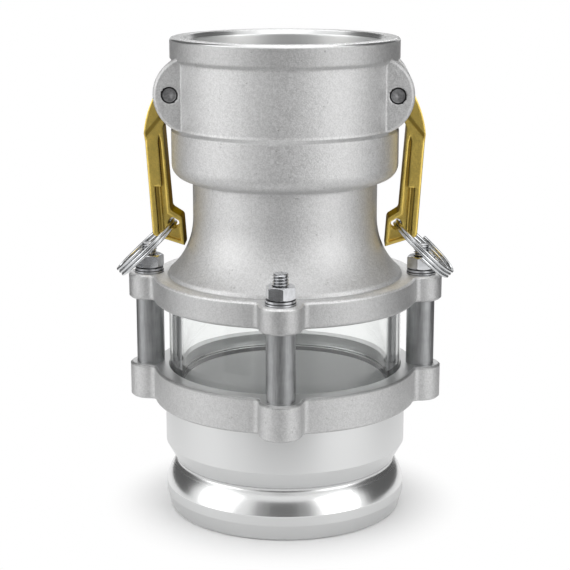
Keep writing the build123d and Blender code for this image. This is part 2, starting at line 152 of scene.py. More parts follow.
class FinishSettings(bpy.types.PropertyGroup):
    """Base colours of the finishes."""

    cast: bpy.props.FloatVectorProperty(
        name="Cast aluminium", description="Sand cast skin", subtype="COLOR", default=(0.62, 0.62, 0.62))
    machined: bpy.props.FloatVectorProperty(
        name="Machined aluminium", description="Turned faces", subtype="COLOR", default=(0.74, 0.745, 0.745))
    brass: bpy.props.FloatVectorProperty(
        name="Brass", description="Cast brass arms", subtype="COLOR", default=(0.89, 0.665, 0.17))
    zinc: bpy.props.FloatVectorProperty(
        name="Zinc plate", description="Studs, nuts and washers", subtype="COLOR", default=(0.70, 0.71, 0.73))
    sleeve: bpy.props.FloatVectorProperty(
        name="Sleeves", description="Dull drawn tube", subtype="COLOR", default=(0.33, 0.335, 0.34))
    pin: bpy.props.FloatVectorProperty(
        name="Pins", description="Dark plain steel", subtype="COLOR", default=(0.27, 0.27, 0.275))
    wire: bpy.props.FloatVectorProperty(
        name="Ring wire", description="Bright drawn wire", subtype="COLOR", default=(0.58, 0.59, 0.60))
    rubber: bpy.props.FloatVectorProperty(
        name="Rubber", description="Seals", subtype="COLOR", default=(0.16, 0.16, 0.162))


class RingSettings(bpy.types.PropertyGroup):
    """Wire of the pull rings."""

    wire: bpy.props.FloatProperty(
        name="Wire", description="Half the wire's thickness", default=0.85 * MM, subtype="DISTANCE")
    gap: bpy.props.FloatProperty(
        name="Gap", description="Gap between two strands", default=0.05 * MM, subtype="DISTANCE")


class ThreadSettings(bpy.types.PropertyGroup):
    """Thread of the studs, and their nuts."""

    pitch: bpy.props.FloatProperty(
        name="Pitch", description="Thread pitch, eighteen turns to the inch", default=INCH / 18,
        subtype="DISTANCE")
    depth: bpy.props.FloatProperty(
        name="Depth", description="Depth of the thread", default=0.8 * MM, subtype="DISTANCE")
    top_length: bpy.props.FloatProperty(
        name="Top thread", description="Threaded length under the stud's top", default=24 * MM,
        subtype="DISTANCE")
    foot_length: bpy.props.FloatProperty(
        name="Foot thread", description="Threaded length above the stud's foot", default=15 * MM,
        subtype="DISTANCE")
    nut_turn: bpy.props.FloatProperty(
        name="Nut turn", description="How far each nut's outer corner lies past its stud",
        default=math.radians(11.5), subtype="ANGLE")
    nut_flats: bpy.props.FloatProperty(
        name="Across flats", description="Width of a nut across its flats", default=12.5 * MM,
        subtype="DISTANCE")


def add(tree, kind, inputs=None, **settings):
    """A shader node with its settings, and its inputs set or linked."""
    made = tree.nodes.new("ShaderNode" + kind)
    for key, value in settings.items():
        setattr(made, key, value)
    for key, value in (inputs or {}).items():
        if isinstance(value, bpy.types.NodeSocket):
            tree.links.new(value, made.inputs[key])
        else:
            made.inputs[key].default_value = value
    return made


def maths(tree, operation, first, second=0.0):
    """Output of a Math node."""
    return add(tree, "Math", {0: first, 1: second}, operation=operation).outputs[0]


def product(tree, first, second):
    """First times second."""
    return maths(tree, "MULTIPLY", first, second)


def weighted(tree, first, first_share, second, second_share):
    """Sum of two values, each times its share."""
    return maths(tree, "ADD", product(tree, first, first_share), product(tree, second, second_share))


def split(tree, vector):
    """The x, y and z outputs of a vector."""
    return add(tree, "SeparateXYZ", {0: vector}).outputs


def unsigned(tree, vector):
    """Vector with its parts made positive."""
    return add(tree, "VectorMath", {0: vector}, operation="ABSOLUTE").outputs[0]


def flat_length(tree, first, second):
    """Length of a vector of two parts."""
    flat = add(tree, "CombineXYZ", {0: first, 1: second}).outputs[0]
    return add(tree, "VectorMath", {0: flat}, operation="LENGTH").outputs["Value"]


def spread(tree, value, low, high, to_low=0.0, to_high=1.0):
    """Value carried smoothly from one range to another."""
    return add(tree, "MapRange", {0: value, 1: low, 2: high, 3: to_low, 4: to_high},
               interpolation_type="SMOOTHSTEP").outputs[0]


def between(tree, value, low, high, soft):
    """1 where the value lies between low and high, 0 elsewhere, with soft edges."""
    rise = spread(tree, value, low - soft, low + soft)
    fall = spread(tree, value, high - soft, high + soft, 1.0, 0.0)
    return product(tree, rise, fall)


def grain(tree, place, size, detail=2.0, roughness=0.5):
    """Noise from 0 to 1 with features of a size in metres."""
    return add(tree, "TexNoise", {"Vector": place, "Scale": 1 / size, "Detail": detail,
                                  "Roughness": roughness}).outputs["Fac"]


def blend(tree, factor, first, second):
    """Value between two values."""
    return add(tree, "Mix", {0: factor, 2: first, 3: second}).outputs[0]


def blend_colours(tree, factor, first, second):
    """Colour between two colours."""
    return add(tree, "Mix", {0: factor, 6: first, 7: second}, data_type="RGBA").outputs[2]


def scale_colour(tree, colour, factor):
    """Colour times a value."""
    return add(tree, "VectorMath", {0: colour, 3: factor}, operation="SCALE").outputs[0]


def shade(colour, factor):
    """Colour made darker or lighter, with alpha."""
    return tuple(min(1.0, c * factor) for c in colour[:3]) + (1.0,)


def bump(tree, height, depth, strength=1.0, normal=None):
    """Normal raised by a height from 0 to 1 times a depth in metres."""
    inputs = {"Height": height, "Distance": depth, "Strength": strength}
    if normal is not None:
        inputs["Normal"] = normal
    return add(tree, "Bump", inputs).outputs[0]


def finish(name, metallic=0.0):
    """A new material: its tree, its Principled shader and the Object coordinates."""
    made = bpy.data.materials.new(name)
    made.use_nodes = True
    tree = made.node_tree
    shader = tree.nodes["Principled BSDF"]
    shader.inputs["Metallic"].default_value = metallic
    return made, tree, shader, tree.nodes.new("ShaderNodeTexCoord").outputs["Object"]


def link(tree, shader, **sockets):
    """Links outputs to a shader's sockets, spaces in their names written as underscores."""
    for name, output in sockets.items():
        tree.links.new(output, shader.inputs[name.replace("_", " ")])


def axis_place(tree, place):
    """Distance from the flow axis and height, as outputs."""
    x, y, height = split(tree, place)
    return flat_length(tree, x, y), height


def rounded(tree, radius, samples):
    """Normal with the edges rounded by a radius in metres."""
    return add(tree, "Bevel", {"Radius": radius}, samples=samples).outputs[0]


def cast_finish(tree, place, tint):
    """Colour, roughness and relief of sand cast skin, its colour times the tint.

    The relief is fine sand and coarser lumps, less scattered pits, and the pits are painted darker as painted shade.
    """
    cast = bpy.context.scene.glass_finish.cast
    sand = grain(tree, place, 0.7 * MM, 4.0, 0.65)
    lumps = grain(tree, place, 1.6 * MM, 2.0)
    skin = weighted(tree, sand, 0.76, lumps, 0.24)
    cells = add(tree, "TexVoronoi", {"Vector": place, "Scale": 1 / (2.3 * MM)}).outputs["Distance"]
    pit_size = spread(tree, grain(tree, place, 6 * MM), 0.48, 0.78, 0.03, 0.26)
    pits = maths(tree, "LESS_THAN", cells, pit_size)
    colour = blend_colours(tree, spread(tree, skin, 0.36, 0.64), shade(cast, 0.86), shade(cast, 1.12))
    # Painted shade: the pits are painted darker.
    colour = blend_colours(tree, product(tree, pits, 0.35), colour, shade(cast, 0.40))
    relief = maths(tree, "SUBTRACT", skin, product(tree, pits, 0.5))
    return scale_colour(tree, colour, tint), spread(tree, skin, *BROAD, 0.50, 0.62), relief


def turned_finish(tree, place, distance, height, roughness, hollow_radius, bands):
    """Colour, roughness and lathe lines of a turned face.

    Inside hollow_radius the wall is duller, and painted paler as painted light on the shaded inside. bands are
    (low, high, roughness, factor of the colour), by height; their factors are painted light and shade. The lines run
    round the flow axis.
    """
    machined = bpy.context.scene.glass_finish.machined
    lines = add(tree, "TexNoise", {"W": maths(tree, "ADD", distance, height), "Scale": 1 / (0.22 * MM),
                                   "Detail": 2.0}, noise_dimensions="1D").outputs["Fac"]
    cloud = grain(tree, place, 22 * MM, 2.0)
    tone = spread(tree, weighted(tree, lines, 0.35, cloud, 0.65), *NARROW)
    colour = blend_colours(tree, tone, shade(machined, 0.93), shade(machined, 1.06))
    rough = spread(tree, lines, *BROAD, roughness - 0.03, roughness + 0.03)
    # Each band's factor paints light and shade into the colour.
    for low, high, band_roughness, factor in bands:
        band = between(tree, height, low, high, 0.5 * MM)
        rough = blend(tree, band, rough, band_roughness)
        colour = blend_colours(tree, band, colour, shade(machined, factor))
    # Painted light: the inside of the bore is painted paler.
    hollow = spread(tree, distance, hollow_radius - 0.4 * MM, hollow_radius + 0.1 * MM, 1.0, 0.0)
    return blend_colours(tree, hollow, colour, shade(machined, 1.12)), blend(tree, hollow, rough, 0.5), lines


def aluminium(name, skin, roughness, hollow_radius, rounding, bands):
    """Aluminium that is sand cast in one zone and turned in the rest.

    skin(tree, distance, height) gives two outputs: 0 for turned to 1 for sand cast, and a factor of
    the cast colour, which holds painted light and shade. roughness is the turned zone's. The mouth's land has sharper
    edges than rounding and deep lathe lines.
    """
    made, tree, shader, place = finish(name, 1.0)
    distance, height = axis_place(tree, place)
    cast, tint = skin(tree, distance, height)
    cast_colour, cast_roughness, relief = cast_finish(tree, place, tint)
    turned_colour, turned_roughness, lines = turned_finish(tree, place, distance, height, roughness,
                                                           hollow_radius, bands)
    deepened = spread(tree, height, MOUTH_HEIGHT - 0.5 * MM, MOUTH_HEIGHT - 0.3 * MM, 1.0, 20.0)
    lines = product(tree, product(tree, lines, deepened), maths(tree, "SUBTRACT", 1.0, cast))
    radius = spread(tree, height, MOUTH_HEIGHT - 3.0 * MM, MOUTH_HEIGHT - 1.5 * MM, rounding, 0.25 * MM)
    normal = bump(tree, lines, 0.006 * MM, 0.5, rounded(tree, radius, 8))
    link(tree, shader, Base_Color=blend_colours(tree, cast, turned_colour, cast_colour),
         Roughness=blend(tree, cast, turned_roughness, cast_roughness),
         Normal=bump(tree, product(tree, relief, cast), 0.22 * MM, 0.9, normal))
    return made


def coupler_skin(tree, distance, height):
    """Sand cast outside, turned in the mouth, the socket, the seat and the bolted face.

    The rim and the flange's side are painted a little darker, painted shade, and the flange's upper edge is painted
    brighter, a painted highlight.
    Painted shade lies in the step under the ears, below a painted highlight line.
    """
    outside = spread(tree, distance, MOUTH_BORE, MOUTH_BORE + 0.8 * MM)
    below_land = spread(tree, height, MOUTH_HEIGHT - 1.3 * MM, MOUTH_HEIGHT - 1.0 * MM, 1.0, 0.0)
    in_neck = spread(tree, height, NECK_TOP, NECK_TOP + 1.0 * MM, 1.0, 0.0)
    neck_side = spread(tree, distance, NECK_BORE, NECK_BORE + 1.0 * MM)
    upper = maths(tree, "MAXIMUM", product(tree, outside, below_land), product(tree, in_neck, neck_side))
    flange_side = spread(tree, distance, FLANGE_EDGE, FLANGE_EDGE + 1.0 * MM, 0.0, 0.9)
    above_flange = spread(tree, height, FLANGE_TOP - 0.8 * MM, FLANGE_TOP + 0.3 * MM)
    # Painted shade: the rim above the rim step is painted darker.
    rim = spread(tree, height, RIM_STEP_HEIGHT - 3.0 * MM, RIM_STEP_HEIGHT, 1.0, 0.84)
    # Painted shade in the step under the ears, with a painted highlight line above it.
    darkening = between(tree, height, STEP_HEIGHT - 0.9 * MM, STEP_HEIGHT + 0.7 * MM, 0.2 * MM)
    painted_highlight = between(tree, height, STEP_HEIGHT + 0.9 * MM, STEP_HEIGHT + 1.9 * MM, 0.3 * MM)
    wall = spread(tree, distance, STEP_WALL, STEP_WALL + 1.0 * MM, 1.0, 0.0)
    step = product(tree, weighted(tree, darkening, -0.26, painted_highlight, 0.12), wall)
    # The flange's side is painted darker, painted shade.
    tint = maths(tree, "ADD", blend(tree, above_flange, 0.80, rim), step)
    # Painted highlight along the flange's upper edge.
    edge = product(tree, between(tree, height, FLANGE_TOP - 0.9 * MM, FLANGE_TOP + 0.3 * MM, 0.2 * MM),
                   spread(tree, distance, FLANGE_EDGE - 1.5 * MM, FLANGE_EDGE + 0.5 * MM))
    return blend(tree, above_flange, flange_side, upper), blend(tree, edge, tint, 1.25)


def adapter_skin(tree, distance, height):
    """Sand cast flange side, painted darker, most at its upper edge, as painted shade, on a turned adapter."""
    side = spread(tree, distance, FLANGE_EDGE + 0.2 * MM, FLANGE_EDGE + 1.0 * MM)
    below_top = spread(tree, height, ADAPTER_TOP - 0.25 * MM, ADAPTER_TOP - 0.1 * MM, 0.9, 0.0)
    # Painted shade: the flange's side is painted darker, most near its upper edge.
    tint = spread(tree, height, ADAPTER_TOP - 1.6 * MM, ADAPTER_TOP - 0.9 * MM, 0.86, 0.60)
    return product(tree, side, below_top), tint


def brass():
    """Cast brass with a fine grain and brighter rounded edges, and painted shade, a darker colour and edge tint, on
    the side that faces the fitting.
    """
    colour = bpy.context.scene.glass_finish.brass
    made, tree, shader, place = finish("cast_brass", 1.0)
    sand = grain(tree, place, 0.6 * MM, 3.0)
    cloud = grain(tree, place, 8 * MM, 2.0)
    tone = spread(tree, weighted(tree, sand, 0.4, cloud, 0.6), *NARROW)
    grained = blend_colours(tree, tone, shade(colour, 0.85), shade(colour, 1.05))
    edges = rounded(tree, 1.3 * MM, 8)
    normal = add(tree, "VectorTransform", {0: edges}, vector_type="NORMAL", convert_from="WORLD",
                 convert_to="OBJECT").outputs[0]
    side = maths(tree, "SIGN", split(tree, place)[0])
    outward = product(tree, split(tree, normal)[0], side)
    # Painted shade: the faces turned towards the fitting get a darker colour and a darker edge tint.
    unshaded_side = spread(tree, outward, -0.7, -0.05)
    link(tree, shader, Base_Color=blend_colours(tree, unshaded_side, shade(colour, 0.3), grained),
         Specular_Tint=blend_colours(tree, unshaded_side, shade(colour, 0.4), shade(colour, 1.0)),
         Roughness=spread(tree, sand, *BROAD, 0.30, 0.42),
         Normal=bump(tree, sand, 0.05 * MM, 0.6, edges))
    return made


def thread_groove_shade(tree, place):
    """Factor that darkens the grooves of the studs' threads: painted shade.

    The studs stand on two lines across the axis, so the larger and the smaller of the two distances
    along and across these lines give the distance from the nearest stud.
    """
    x, y, _ = split(tree, unsigned(tree, place))
    along = maths(tree, "SUBTRACT", maths(tree, "MAXIMUM", x, y), BOLT_CIRCLE)
    distance = flat_length(tree, along, maths(tree, "MINIMUM", x, y))
    # Painted shade in the thread's grooves; the end face inside the core is left as it is.
    groove = spread(tree, distance, STUD_RADIUS - 0.7 * MM, STUD_RADIUS - 0.1 * MM, 0.35, 1.0)
    core = spread(tree, distance, STUD_RADIUS - 1.0 * MM, STUD_RADIUS - 0.85 * MM, 1.0, 0.0)
    return maths(tree, "MAXIMUM", groove, core)


def joint_darkening(tree, place):
    """Factor that darkens the washers where they touch each other, the flange and the nut."""
    height = split(tree, place)[2]
    factor = 1.0
    for joint in (FLANGE_TOP, WASHER_JOINT, WASHER_TOP):
        dark = between(tree, height, joint - 0.22 * MM, joint + 0.22 * MM, 0.12 * MM)
        factor = product(tree, factor, spread(tree, dark, 0.0, 1.0, 1.0, 0.12))
    return factor


def drawn_steel(name, colour, roughness, rounding, lined, darkening=None):
    """Plain or plated steel with drawing lines along its height, lined from 0 to 1.

    If given, the last argument, a function of tree and place, gives a factor that darkens its colour: painted shade
    in the studs' thread grooves, and narrow dark bands where the washers touch.
    """
    made, tree, shader, place = finish(name, 1.0)
    stretched = add(tree, "Mapping", {"Vector": place, "Scale": (1.0, 1.0, 0.06)}).outputs[0]
    lines = grain(tree, stretched, 0.5 * MM, 3.0)
    cloud = grain(tree, place, 5 * MM, 2.0)
    tone = spread(tree, weighted(tree, lines, lined, cloud, 1 - lined), *NARROW)
    tinted = blend_colours(tree, tone, shade(colour, 0.88), shade(colour, 1.1))
    # Darkening: painted shade in thread grooves, narrow dark bands at the washer joints.
    if darkening:
        tinted = scale_colour(tree, tinted, darkening(tree, place))
    link(tree, shader, Base_Color=tinted,
         Roughness=spread(tree, lines, *BROAD, roughness - 0.08 * lined, roughness + 0.1 * lined),
         Normal=bump(tree, lines, 0.02 * lined * MM, 0.5, rounded(tree, rounding, 4)))
    return made


def pin_steel():
    """Dark plain steel pin, mottled on its end faces, with its rim painted nearly black, painted shade of the gap
    round the pin.
    """
    colour = bpy.context.scene.glass_finish.pin
    made, tree, shader, place = finish("dark_pin", 1.0)
    from_pin = add(tree, "VectorMath", {0: unsigned(tree, place), 1: (PIN_CENTRE[0], 0.0, PIN_CENTRE[2])},
                   operation="SUBTRACT").outputs[0]
    x, _, z = split(tree, from_pin)
    distance = flat_length(tree, x, z)
    rim = spread(tree, distance, 0.78 * PIN_RADIUS, 0.84 * PIN_RADIUS)
    mottle = spread(tree, grain(tree, place, 1.2 * MM, 3.0), *NARROW)
    face = blend_colours(tree, mottle, shade(colour, 0.85), shade(colour, 1.2))
    # Painted shade: the rim is painted nearly black.
    link(tree, shader, Base_Color=blend_colours(tree, rim, face, shade(colour, 0.12)),
         Roughness=spread(tree, mottle, 0.0, 1.0, 0.42, 0.5),
         Normal=bump(tree, mottle, 0.015 * MM, 0.6))
    return made


def rubber(name, colour):
    """Seal rubber with a faint bloom."""
    made, tree, shader, place = finish(name)
    bloom = grain(tree, place, 3 * MM, 3.0)
    link(tree, shader, Base_Color=blend_colours(tree, spread(tree, bloom, 0.3, 0.8), shade(colour, 0.92),
                                                shade(colour, 1.15)),
         Roughness=spread(tree, bloom, *BROAD, 0.45, 0.6),
         Normal=bump(tree, grain(tree, place, 0.4 * MM), 0.02 * MM, 0.5))
    return made


def clear_glass():
    """Clear polished glass, a little smeared."""
    made, tree, shader, place = finish("sight_glass")
    shader.inputs["Base Color"].default_value = (0.985, 0.995, 0.99, 1.0)
    shader.inputs["Transmission Weight"].default_value = 1.0
    shader.inputs["IOR"].default_value = 1.5
    smears = grain(tree, place, 12 * MM, 3.0)
    link(tree, shader, Roughness=spread(tree, smears, 0.5, 0.8, 0.0, 0.02))
    return made


def grid_faces(points, closed_around, closed_along, cap_ends, start):
    """Vertices and faces of a grid of points, rows by columns, numbered from start.

    Its columns may be joined round, its last row joined to its first, and its end rows closed by fans.
    """
    rows, columns = points.shape[:2]
    corner = start + np.arange(rows * columns).reshape(rows, columns)
    here = np.arange(columns if closed_around else columns - 1)
    beside = (here + 1) % columns
    row = np.arange(rows if closed_along else rows - 1)
    above = (row + 1) % rows
    quads = np.stack([corner[row][:, here], corner[row][:, beside], corner[above][:, beside],
                      corner[above][:, here]], axis=-1).reshape(-1, 4)
    faces = quads.tolist()
    vertices = points.reshape(-1, 3)
    if cap_ends:
        first = start + len(vertices)
        vertices = np.concatenate([vertices, points[:1].mean(1), points[-1:].mean(1)])
        low = np.stack([np.full(len(here), first), corner[0][beside], corner[0][here]], axis=-1)
        high = np.stack([np.full(len(here), first + 1), corner[-1][here], corner[-1][beside]], axis=-1)
        faces += low.tolist() + high.tolist()
    return vertices, faces


def surface_mesh(name, grids, closed_around=True, closed_along=False, cap_ends=False):
    """Mesh of one or more grids of points."""
    vertices, faces = [], []
    for points in grids:
        grid_vertices, grid_polygons = grid_faces(points, closed_around, closed_along, cap_ends, len(vertices))
        vertices += grid_vertices.tolist()
        faces += grid_polygons
    mesh = bpy.data.meshes.new(name)
    mesh.from_pydata(vertices, [], faces)
    mesh.update()
    return mesh


def piece(name, mesh, material, body, replaced, sharp=40.0):
    """A dressed piece that rides on a body and stands for CAD nodes."""
    made = bpy.data.objects.new(name, mesh)
    bpy.context.scene.collection.objects.link(made)
    mesh.materials.append(material)
    mesh.shade_smooth()
    mesh.set_sharp_from_angle(angle=math.radians(sharp))
    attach(made, body)
    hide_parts(*replaced)


def dress(node, material):
    """Gives a CAD node its finish."""
    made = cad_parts[node]
    made.data.materials.clear()
    made.data.materials.append(material)


def stud_surface(centre, low, high, thread):
    """Stud as a grid of angle and height.

    The radius is the stud's own, less a clipped triangle wave of the height less the angle's share of
    a pitch, so the groove winds round as a helix. The wave fades in at the ends of each thread, and
    both ends narrow in a chamfer.
    """
    around, rows_each_turn = 40, 12
    chamfer = 0.7 * MM
    peak, slope = 1.25, 2.5
    rows = int((high - low) / thread.pitch * rows_each_turn)
    z = np.linspace(low, high, rows)[:, None]
    angle = np.linspace(0, 2 * np.pi, around, endpoint=False)[None, :]
    phase = (z / thread.pitch - angle / (2 * np.pi)) % 1.0
    wave = np.clip(peak - slope * np.abs(phase - 0.5), 0.0, 1.0)
    fade = 1.5 * thread.pitch
    top = np.clip((z - (high - thread.top_length)) / fade, 0, 1)
    foot = np.clip(((low + thread.foot_length) - z) / fade, 0, 1)
    radius = STUD_RADIUS - thread.depth * wave * np.maximum(top, foot)
    end = np.minimum(z - low, high - z)
    radius = np.minimum(radius, STUD_RADIUS - np.clip(chamfer - end, 0, chamfer))
    x = centre[0] + radius * np.cos(angle)
    y = centre[1] + radius * np.sin(angle)
    return np.stack([x, y, z + 0 * angle], axis=-1)


def ring_surface(side, wire, gap):
    """Split ring as a grid of place along the wire and angle round it.

    The wire's centre goes round a circle, and moves along the circle's axis by half a strand in each
    half turn, eased as a cosine. Its section is a circle square to it. The lean follows from the CAD
    ring's box, whose width is 2R sin + s cos of it and whose height is 2R cos + s sin, where s is the
    coil's length of one and a half strands. The left ring is the right one turned half round.
    """
    half_turns, around, steps = 5, 14, 48
    strand = 2 * wire + gap
    coil = 1.5 * strand
    across = node_size("pull_ring_" + side)
    middle = node_centre("pull_ring_" + side)
    sign = math.copysign(1.0, middle[0])
    radius = across[1] / 2 - wire
    width, height = across[0] - 2 * wire, across[2] - 2 * wire
    lean = math.atan2(2 * radius * width - coil * height, 2 * radius * height - coil * width)
    down = np.array([math.sin(lean), 0.0, -math.cos(lean)])
    up = np.array([math.cos(lean), 0.0, math.sin(lean)])
    front = np.array([0.0, -1.0, 0.0])
    start = np.array([sign * middle[0] - coil * up[0], 0.0, middle[2] - strand * up[2]])
    t = np.linspace(0, half_turns * np.pi, half_turns * steps + 1)[:, None]
    half = np.minimum(np.floor(t / np.pi + 1e-9), half_turns - 1)
    rise = strand * (half / 2 + (1 - np.cos(t - half * np.pi)) / 4)
    slope = strand * np.sin(t - half * np.pi) / 4
    outward = np.cos(t) * front + np.sin(t) * down
    along = radius * (np.cos(t) * down - np.sin(t) * front) + slope * up
    along /= np.linalg.norm(along, axis=1, keepdims=True)
    beside = np.cross(along, outward)
    beside /= np.linalg.norm(beside, axis=1, keepdims=True)
    angle = np.linspace(0, 2 * np.pi, around, endpoint=False)[None, :, None]
    centre = start + radius * outward + rise * up
    points = (centre[:, None, :] + wire * (np.cos(angle) * outward[:, None, :] + np.sin(angle) * beside[:, None, :]))
    return points * np.array([sign, sign, 1.0])


def pin_surface(side):
    """Cam pin as a grid of its profile and angle.

    The profile is a sunk face, a slope up to a raised rim, and the side, the same at both ends. It
    runs from back to front, so that the faces point outwards. At four angles the rim and the side
    swell by a narrow bell curve of the angle, as a grooved pin does.
    """
    low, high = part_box("cam_pin_" + side)
    half_length = (high[1] - low[1]) / 2
    centre = node_centre("cam_pin_" + side)
    around = 120
    proud, sunk, swelling, bell = 0.05 * MM, 0.3 * MM, 0.42 * MM, math.radians(6.0)
    share = np.array([0.06, 0.14, 0.76, 0.86, 0.97, 1.0])
    out = np.array([-0.6, 0.0, 0.0, 1.0, 1.0, 0.6])
    end = half_length - sunk + (sunk + proud) * out
    radius = PIN_RADIUS * np.concatenate([share, share[::-1]])[:, None]
    place = np.concatenate([end, -end[::-1]])[:, None]
    angle = np.linspace(0, 2 * np.pi, around, endpoint=False)[None, :]
    grooves = np.radians([132.0, 158.0, 303.0, 335.0])[:, None, None]
    away = (angle - grooves + np.pi) % (2 * np.pi) - np.pi
    swell = swelling * np.exp(-(away / bell) ** 2).sum(0) * (radius > 0.9 * PIN_RADIUS)
    x = centre[0] + (radius + swell) * np.cos(angle)
    z = centre[2] + (radius + swell) * np.sin(angle)
    return np.stack([x, place + 0 * angle, z], axis=-1)


def nut_surface(centre, low, high, hole, outward, thread):
    """Nut as a closed grid of its profile and angle, with a hole of a radius.

    Its side's radius is half the flats' distance over the cosine of the angle from the nearest flat's
    middle. A cone at each end cuts it, so each flat ends in an arc.
    """
    around = 60
    flat = thread.nut_flats / 2
    face = 0.95 * flat
    slope = math.tan(math.radians(30.0))
    corner = outward + thread.nut_turn
    angle = np.linspace(0, 2 * np.pi, around, endpoint=False) + corner
    from_flat = (angle - corner) % (np.pi / 3) - np.pi / 6
    side = flat / np.cos(from_flat)
    rise = (side - face) * slope
    even = np.ones_like(angle)
    radius = np.stack([hole * even, face * even, side, side, face * even, hole * even])
    z = np.stack([low * even, low * even, low + rise, high - rise, high * even, high * even])
    return np.stack([centre[0] + radius * np.cos(angle), centre[1] + radius * np.sin(angle), z], axis=-1)


class StageOperator(bpy.types.Operator):
    """Floor, background, soft boxes and the camera"""

    bl_idname = "sight_glass.stage"
    bl_label = "Stage"

    def execute(self, context):
        scene = context.scene
        settings = scene.glass_view
        scene.view_settings.view_transform = "Standard"
        set_camera(scene, settings)
        set_room(scene, settings)
        set_floor()
        set_lights(settings)
        return {"FINISHED"}


def set_camera(scene, settings):
    """Camera at the photograph's viewing angle."""
    data = bpy.data.cameras.new("camera")
    data.lens = settings.lens
    data.sensor_width = 36.0
    data.clip_start = 0.01
    camera = bpy.data.objects.new("camera", data)
    scene.collection.objects.link(camera)
    camera.location = (settings.distance * math.sin(settings.turn),
                       -settings.distance * math.cos(settings.turn), settings.height)
    camera.rotation_euler = (math.pi / 2 - settings.pitch, 0.0, settings.turn)
    scene.camera = camera


def seen_directly(tree):
    """1 for a ray from the camera, off a mirror surface or through glass."""
    rays = add(tree, "LightPath").outputs
    seen = maths(tree, "MAXIMUM", rays["Is Camera Ray"], rays["Is Glossy Ray"])
    return maths(tree, "MAXIMUM", seen, rays["Is Transmission Ray"])


def set_room(scene, settings):
    """White background, with a dimmer even light on dull surfaces."""
    world = bpy.data.worlds.new("room")
    scene.world = world
    world.use_nodes = True
    tree = world.node_tree
    back = tree.nodes["Background"]
    back.inputs["Color"].default_value = WHITE
    level = blend(tree, seen_directly(tree), settings.room_light, 1.0)
    tree.links.new(level, back.inputs["Strength"])


def set_floor():
    """Pale floor that keeps the shadow near the object and is white further off."""
    reach = 20.0
    shadow_radius, white_radius = 0.056, 0.092
    mesh = bpy.data.meshes.new("floor")
    mesh.from_pydata([(-reach, -reach, 0), (reach, -reach, 0), (reach, reach, 0), (-reach, reach, 0)], [],
                     [(0, 1, 2, 3)])
    floor = bpy.data.objects.new("floor", mesh)
    bpy.context.scene.collection.objects.link(floor)
    made, tree, shader, place = finish("pale_floor")
    shader.inputs["Base Color"].default_value = (0.97, 0.97, 0.97, 1.0)
    shader.inputs["Roughness"].default_value = 0.9
    distance, _ = axis_place(tree, place)
    white = add(tree, "Emission", {"Color": WHITE, "Strength": 1.0}).outputs[0]
    factor = product(tree, spread(tree, distance, shadow_radius, white_radius), seen_directly(tree))
    mixed = add(tree, "MixShader", {0: factor, 1: shader.outputs[0], 2: white}).outputs[0]
    tree.links.new(mixed, tree.nodes["Material Output"].inputs["Surface"])
    mesh.materials.append(made)


def aim(made, target):
    """Turns a light's face to a point."""
    direction = np.array(target) - np.array(made.location)
    flat = math.hypot(direction[0], direction[1])
    made.rotation_euler = (math.atan2(flat, -direction[2]), 0.0, math.atan2(direction[1], direction[0]) - math.pi / 2)


def soft_box(name, place, width, height, brightness):
    """Area light whose face has a given brightness."""
    data = bpy.data.lights.new(name, "AREA")
    data.shape = "RECTANGLE"
    data.size = width
    data.size_y = height
    data.energy = brightness * math.pi * width * height
    made = bpy.data.objects.new(name, data)
    bpy.context.scene.collection.objects.link(made)
    made.location = place
    aim(made, (0.0, 0.0, MOUTH_HEIGHT / 2))


def flag(name, first, last, soft, grey, edge_grey, path):
    """Dark studio flag that only shiny surfaces see.

    A grid of turn about the flow axis, first to last, and of place along a path of distance and
    height. Its grey turns to the edge's grey over soft degrees within each side.
    """
    turns = np.radians(np.linspace(first, last, 25))[:, None]
    distance, height = np.array(path).T
    points = np.stack([distance * np.sin(turns), -distance * np.cos(turns), height + 0 * turns], axis=-1)
    made = bpy.data.objects.new(name, surface_mesh(name, [points], closed_around=False))
    bpy.context.scene.collection.objects.link(made)
    material, tree, _, place = finish(name)
    middle = math.radians((first + last) / 2)
    x, y, _ = split(tree, place)
    across = weighted(tree, x, math.cos(middle), y, math.sin(middle))
    forward = weighted(tree, x, math.sin(middle), y, -math.cos(middle))
    turn = maths(tree, "ABSOLUTE", maths(tree, "ARCTAN2", across, forward))
    reach = math.radians((last - first) / 2)
    level = spread(tree, turn, reach - math.radians(soft), reach, grey, edge_grey)
    glow = add(tree, "Emission", {"Color": WHITE, "Strength": level}).outputs[0]
    tree.links.new(glow, tree.nodes["Material Output"].inputs["Surface"])
    made.data.materials.append(material)
    for ray in ("camera", "diffuse", "shadow", "transmission", "volume_scatter"):
        setattr(made, "visible_" + ray, False)


def set_lights(settings):
    """A large soft box on each side of the camera, one overhead, one behind, and dark flags between them."""
    for name, turn in SIDE_BOXES:
        angle = math.radians(turn)
        place = (BOX_REACH * math.sin(angle), -BOX_REACH * math.cos(angle), 0.45)
        soft_box(name, place, 0.9, 1.2, settings.soft_box_light)
    soft_box("top_box", (0.0, -0.1, 1.4), 1.0, 1.0, settings.top_light)
    soft_box("back_box", (0.0, BOX_REACH, 0.95), 0.7, 0.5, settings.back_light)
    for row in FLAGS:
        flag(*row)


class CastingsOperator(bpy.types.Operator):
    """Coupler body and adapter body"""

    bl_idname = "sight_glass.castings"
    bl_label = "Castings"

    def execute(self, context):
        coupler = aluminium("coupler_aluminium", coupler_skin, 0.26, SOCKET_BORE, 1.2 * MM, COUPLER_BANDS)
        adapter = aluminium("adapter_aluminium", adapter_skin, 0.36, SEAT_BORE, 0.25 * MM, ADAPTER_BANDS)
        dress("coupler_body", coupler)
        dress("adapter_body", adapter)
        return {"FINISHED"}


